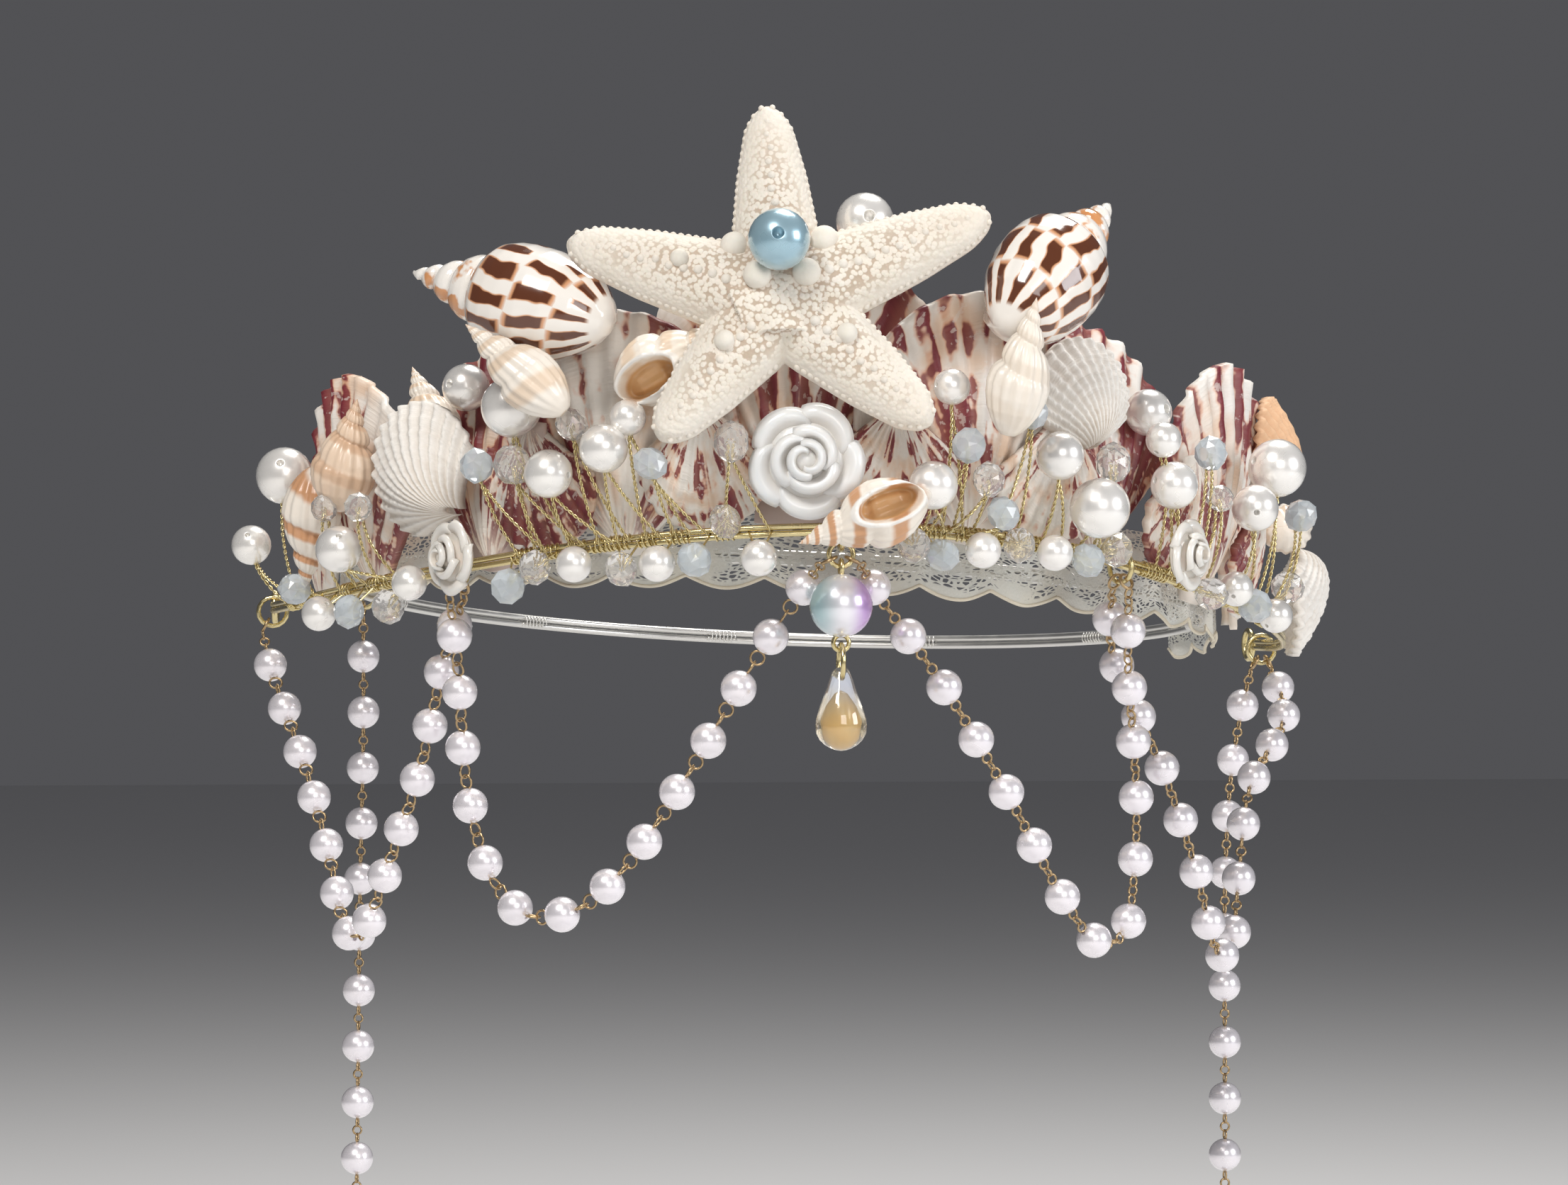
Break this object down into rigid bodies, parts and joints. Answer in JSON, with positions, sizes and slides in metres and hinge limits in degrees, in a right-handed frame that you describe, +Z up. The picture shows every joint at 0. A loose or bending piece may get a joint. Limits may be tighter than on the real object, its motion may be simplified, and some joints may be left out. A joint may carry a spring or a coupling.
{
  "type": "seashell crown",
  "caption": "Crown of scallops, whelks, a starfish and roses on a wire hoop, with bead sprays, pearl swags and a drop pendant.",
  "frame": {"origin": "middle of the head opening, at about the height where the hoop sits on the head", "axes": "+Z up through the wearer's head, the front of the crown faces -Y, +X towards the right of the picture"},
  "size_m": [0.1982, 0.2154, 0.1937],
  "materials": {
    "silver_wire": "bright wire",
    "gold_wire": "bright gold-coloured wire",
    "lace": "ivory lace",
    "scallop_shell": "mottled maroon and cream, semi-matt",
    "white_shell": "chalky white",
    "peach_shell": "peach, semi-matt",
    "spotted_shell": "glossy cream with brown spots",
    "banded_shell": "cream with tan bands",
    "starfish": "dry and granular",
    "resin": "pearly white",
    "pearl": "pearl lustre",
    "beads": "pearl and cut glass on gold wire stems",
    "blue_pearl": "blue-grey pearl",
    "two_tone_pearl": "teal, white and purple pearl",
    "coated_glass": "clear glass with an aurora coat"
  },
  "bodies": {
    "crown": {"hoop": "silver_wire", "front_rail": "gold_wire", "ring_left": "gold_wire", "ring_right": "gold_wire", "ring_end_left": "gold_wire", "ring_end_right": "gold_wire", "ring_rear_left": "gold_wire", "ring_centre": "gold_wire", "hanger_ring": "gold_wire", "lace_trim": "lace", "scallop_1": "scallop_shell", "scallop_2": "scallop_shell", "scallop_3": "scallop_shell", "scallop_4": "scallop_shell", "scallop_5": "scallop_shell", "scallop_6": "scallop_shell", "scallop_7": "scallop_shell", "scallop_8": "scallop_shell", "scallop_9": "scallop_shell", "scallop_10": "scallop_shell", "scallop_11": "scallop_shell", "scallop_12": "scallop_shell", "scallop_13": "scallop_shell", "scallop_14": "scallop_shell", "scallop_15": "scallop_shell", "cockle_left": "white_shell", "cockle_right": "white_shell", "cockle_far_right": "white_shell", "cockle_peach": "peach_shell", "babylon_left": "spotted_shell", "babylon_right": "spotted_shell", "nassa_1": "banded_shell", "nassa_2": "banded_shell", "nassa_3": "banded_shell", "nassa_4": "banded_shell", "nassa_5": "banded_shell", "nassa_6": "banded_shell", "nassa_7": "banded_shell", "nassa_8": "banded_shell", "starfish": "starfish", "rose_centre": "resin", "rose_left": "resin", "rose_right": "resin", "back_pearl": "pearl", "left_pearl": "pearl", "right_pearl": "pearl", "swag_front_left": "pearl", "swag_front_right": "pearl", "swag_side_left": "pearl", "swag_side_right": "pearl", "strand_long_left": "pearl", "strand_long_right": "pearl", "spray_far_left": "beads", "spray_left": "beads", "spray_right": "beads", "spray_far_right": "beads", "star_pearl": "blue_pearl"},
    "pendant": {"pendant_pearl": "two_tone_pearl"},
    "drop": {"drop_ring": "gold_wire", "glass_drop": "coated_glass"}
  },
  "joints": [
    {"name": "pendant_swing", "type": "hinge", "parent": "crown", "child": "pendant", "pos_m": [-0.002, -0.104, 0.00985], "axis": [-1, 0, 0], "range_deg": [-5, 60]},
    {"name": "drop_swing", "type": "hinge", "parent": "pendant", "child": "drop", "pos_m": [-0.002, -0.104, -0.00265], "axis": [0, 1, 0], "range_deg": [-30, 30]}
  ]
}
